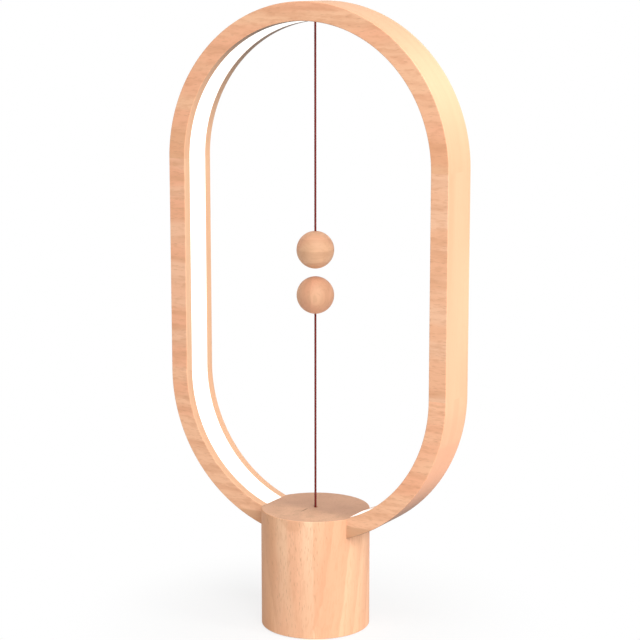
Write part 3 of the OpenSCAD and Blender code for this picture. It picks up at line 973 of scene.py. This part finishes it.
# %% [markdown]
# ## The balls
# Each ball is turned, bored from one side for the magnet and the string's knot, and closed with
# a plug of the same wood that is rounded to the ball's own surface. The plug's grain lines up
# with the ball's, so only a hair-thin ring shows. The upper ball's grain lies level and the
# lower ball's stands upright.

# %% Draw a ball and its plug
bore_r = 4 * MM
bore_floor = -9.5 * MM
plug_floor = 0.5 * MM
ball_string_hole = 0.85 * MM
joint_gap = 0.04 * MM


def ball_profile(radius):
    rim = math.degrees(math.acos(bore_r / radius))
    return (arc((0, 0), radius, rim, -89.99, 72)[:-1]
            + [(0, -radius), (0, bore_floor), (bore_r, bore_floor)])


def plug_profile(radius):
    plug_r = bore_r - joint_gap
    crown = arc((0, 0), radius, math.degrees(math.acos(ball_string_hole / radius)),
                math.degrees(math.acos(plug_r / radius)), 10)
    return crown + [(plug_r, plug_floor), (ball_string_hole, plug_floor)]


print(f"plugs {2 * (bore_r - joint_gap) / MM:.2f} mm across")

# %% Turn the balls and their plugs
ball_turn = math.radians(30)
upper_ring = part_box("upper_ball")[0].z + 15 * MM
lower_ring = 2 * MM
ring_stretch = 0.67
# Places in the log that lie far apart, so that the balls don't share a figure.
upper_log, lower_log = (0.83, 0.55), (1.64, 0.75)


def make_ball(which, up, body, place_in_grain):
    low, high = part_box(which + "_ball")
    radius = high.x
    centre_z = (low.z + high.z) / 2
    for part, profile in (("ball", ball_profile(radius)), ("ball_plug", plug_profile(radius))):
        shape = lathe(profile, 128 if part == "ball" else 64)
        shape.points = [(x, up * y, centre_z + up * z) for x, y, z in shape.points]
        piece = shape.make_object(f"turned_{which}_{part}", [ball_beech])
        lay_grain(piece, place_in_grain)
        hand_over(piece, body, "ball_beech", f"{which}_{part}")


def turned_place(point):
    """How far to the right and how far back a point lies on a ball that is turned a little."""
    return (point.x * math.cos(ball_turn) + point.y * math.sin(ball_turn),
            point.y * math.cos(ball_turn) - point.x * math.sin(ball_turn))


def level_grain(point):
    """Grain from left to right, with the bark side up."""
    right, back = turned_place(point)
    return (right + upper_log[0], back + upper_log[1], point.z - upper_ring)


def upright_grain(point):
    """Upright grain, with the bark side to the right and wider rings."""
    right, back = turned_place(point)
    return (point.z + lower_log[0], back + lower_log[1], ring_stretch * (right - lower_ring))


make_ball("upper", 1, "upper_pendant", level_grain)
make_ball("lower", -1, "lower_pendant", upright_grain)

# %% [markdown]
# ## The strings
# The strings are dark red cotton, laid from three strands. At this size the lay hardly shows,
# but a smooth rod would catch the light in one straight line and look like wire. A ring of
# points follows the outline of three soft strands, and each ring up the string is turned a
# little further. Both strings are pulled tight and are held at both ends, so they are rigid
# pieces. Each has a small round bend at its pivot, and the lower one has a tail that goes down
# through the base to the switch.

# %% Dye the string
def cotton():
    finish = Finish("red_cotton")
    place = finish.place()
    fibres = finish.noise(place, (2600, 2600, 900), 2.0)
    dye = finish.noise(place, (120, 120, 120), 2.0)
    red = finish.mix(dye, paint(118, 38, 34), paint(136, 46, 40))
    red = finish.mix(0.4 * fibres, red, paint(96, 28, 27))
    return finish.surface(
        Base_Color=red,
        Roughness=0.78 + 0.1 * fibres,
        Specular_IOR_Level=0.25,
        Sheen_Weight=0.1,
        Sheen_Tint=paint(220, 120, 110),
        Normal=finish.bump(fibres, 0.00005),
    )


red_cotton = cotton()
print(red_cotton.name, "is dyed")

# %% Draw a string
string_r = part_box("upper_string_bend")[1].x
furrow = 0.07 * MM
lay_length = 3 * MM
ring_step = 0.25 * MM
outline_points = 15
knot_inset, knot_half, knot_spread = 1.6 * MM, 1.2 * MM, 1.05 * MM
knot_extra = 1.05


def twisted_outline():
    """Angles and radii round three soft strands with shallow furrows between them."""
    turns = [math.tau * i / outline_points for i in range(outline_points)]
    return [(turn, string_r - furrow * (1 - math.cos(3 * turn))) for turn in turns]


def knot_swell(z, knot_z):
    """How much thicker the string is near its knot."""
    if knot_z is None:
        return 1
    return 1 + knot_extra * math.exp(-((z - knot_z) / knot_spread) ** 2)


print(f"string {2 * string_r / MM:.1f} mm thick, one turn in {lay_length / MM:.0f} mm")

# %% Twist the strings
def twisted_string(name, low, high, body, node, knot_z=None):
    shape = Shape()
    outline = twisted_outline()
    count = max(2, round((high - low) / ring_step))
    rings = []
    for k in range(count + 1):
        z = low + (high - low) * k / count
        turn = math.tau * z / lay_length
        swell = knot_swell(z, knot_z)
        rings.append(shape.add_points([
            (swell * r * math.cos(a + turn), swell * r * math.sin(a + turn), z)
            for a, r in outline]))
    for below, above in zip(rings, rings[1:]):
        for i in range(len(outline)):
            j = (i + 1) % len(outline)
            shape.add_face([below[i], below[j], above[j], above[i]])
    shape.add_face(rings[0][::-1])
    shape.add_face(rings[-1])
    hand_over(shape.make_object(name, [red_cotton]), body, "string", node)


def bend_ball(name, body, node):
    """Turns the small round bend of a string and gives the height of its pivot."""
    low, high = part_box(node)
    middle = (low.z + high.z) / 2
    profile = [(0, middle + string_r)] + [
        (r, middle + z) for r, z in arc((0, 0), string_r, 72, -72, 8)] + [(0, middle - string_r)]
    hand_over(lathe(profile, 24).make_object(name, [red_cotton]), body, "string", node)
    return middle


lower_pivot = bend_ball("red_lower_bend", "lower_bend", "lower_string_bend")
upper_pivot = bend_ball("red_upper_bend", "upper_bend", "upper_string_bend")
lower_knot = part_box("lower_string")[1].z - knot_inset
upper_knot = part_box("upper_string")[0].z + knot_inset
tail_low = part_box("lower_string_tail")[0].z
anchor_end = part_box("upper_string_tail")[1].z
inside_bend = 0.5 * MM
twisted_string("red_lower_string", lower_pivot + inside_bend, lower_knot + knot_half,
               "lower_pendant", "lower_string", lower_knot)
twisted_string("red_upper_string", upper_knot - knot_half, upper_pivot - inside_bend,
               "upper_pendant", "upper_string", upper_knot)
twisted_string("red_lower_tail", tail_low, lower_pivot - inside_bend,
               "switch_plunger", "lower_string_tail", tail_low + knot_half)
twisted_string("red_upper_tail", upper_pivot + inside_bend, anchor_end,
               "lamp", "upper_string_tail")

# %% [markdown]
# ## Finishes for the working parts
# The socket shows at the back, the foot shows as a thin dark line under the base, and the rest
# of the works are inside. Each keeps its construction shape and gets a finish of its own. Metal,
# moulded plastic, rubber and board differ mostly in roughness and in the size of their texture,
# so one recipe with a few numbers makes them all.

# %% Mix the technical finishes
def stock(name, light, dark, grain_scale, roughness, metallic=0.0, depth=0.00002):
    """A finish with a fine clouded colour and a relief of the same grain."""
    finish = Finish(name)
    place = finish.place()
    grain = finish.noise(place, grain_scale, 3.0)
    cloud = finish.noise(place, (90, 90, 90), 2.0)
    colour = finish.mix(0.5 * grain + 0.5 * cloud, light, dark)
    return finish.surface(
        Base_Color=colour,
        Roughness=roughness - 0.06 + 0.12 * grain,
        Metallic=metallic,
        Normal=finish.bump(grain, depth),
    )


even = (1800, 1800, 1800)
turned_marks = (300, 300, 6000)
stocks = {
    "rubber": stock("foot_rubber", paint(46, 46, 47), paint(30, 30, 31), even, 0.75,
                    depth=6e-5),
    "black_plastic": stock("black_plastic", paint(44, 44, 46), paint(33, 33, 35), even, 0.42),
    "white_plastic": stock("white_plastic", paint(232, 231, 226), paint(220, 219, 213), even,
                           0.4),
    "steel": stock("bright_steel", paint(196, 198, 202), paint(168, 170, 174), turned_marks,
                   0.28, 1.0, 1e-5),
    "brass": stock("brass", paint(214, 176, 104), paint(190, 150, 82), turned_marks,
                   0.3, 1.0, 1e-5),
    "cast": stock("cast_weight", paint(116, 118, 122), paint(90, 92, 96), (700, 700, 700),
                  0.6, 0.9, 1e-4),
    "magnet": stock("nickel_magnet", paint(206, 206, 204), paint(184, 184, 182), even,
                    0.2, 1.0),
    "board": stock("circuit_board", paint(34, 92, 58), paint(24, 74, 46), (500, 900, 500),
                   0.4),
    "red_wire": stock("red_wire", paint(186, 36, 32), paint(160, 28, 26), even, 0.45),
    "blue_wire": stock("blue_wire", paint(40, 72, 168), paint(30, 58, 142), even, 0.45),
    "dowel": stock("dowel_wood", paint(222, 184, 144), paint(200, 158, 120),
                   (2200, 2200, 90), 0.6, depth=5e-5),
    "strip": stock("light_strip", paint(240, 240, 236), paint(226, 226, 220), even, 0.5),
}


def led_phosphor():
    finish = Finish("led_phosphor")
    spots = finish.noise(finish.place(), (3000, 3000, 3000), 2.0)
    yellow = finish.mix(spots, paint(252, 232, 150), paint(244, 214, 120))
    return finish.surface(Base_Color=yellow, Roughness=0.4 + 0.1 * spots,
                          Emission_Color=(1, 0.96, 0.88, 1), Emission_Strength=1.0)


stocks["led"] = led_phosphor()
print(len(stocks), "technical finishes")

# %% Dress the working parts
stock_of = {
    "rubber": ["foot_pad"],
    "black_plastic": ["bottom_cover", "board_components", "socket_tongue", "socket_surround"],
    "white_plastic": ["board_spacers", "switch_housing", "switch_cap", "plunger"],
    "steel": ["hoop_screws", "cover_screws", "board_screws", "power_socket", "switch_screws",
              "return_spring"],
    "brass": ["string_guide", "string_anchor", "fixed_contacts", "contact_ring"],
    "cast": ["ballast"],
    "magnet": ["lower_magnet", "upper_magnet"],
    "board": ["circuit_board"],
    "red_wire": ["led_leads"],
    "blue_wire": ["switch_leads"],
    "dowel": ["hoop_dowels"],
    "strip": ["led_strip"],
    "led": ["led_chips"],
}
for kind, nodes in stock_of.items():
    for node in nodes:
        for material_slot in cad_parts[node].material_slots:
            material_slot.material = stocks[kind]
print(sum(len(nodes) for nodes in stock_of.values()), "working parts dressed")
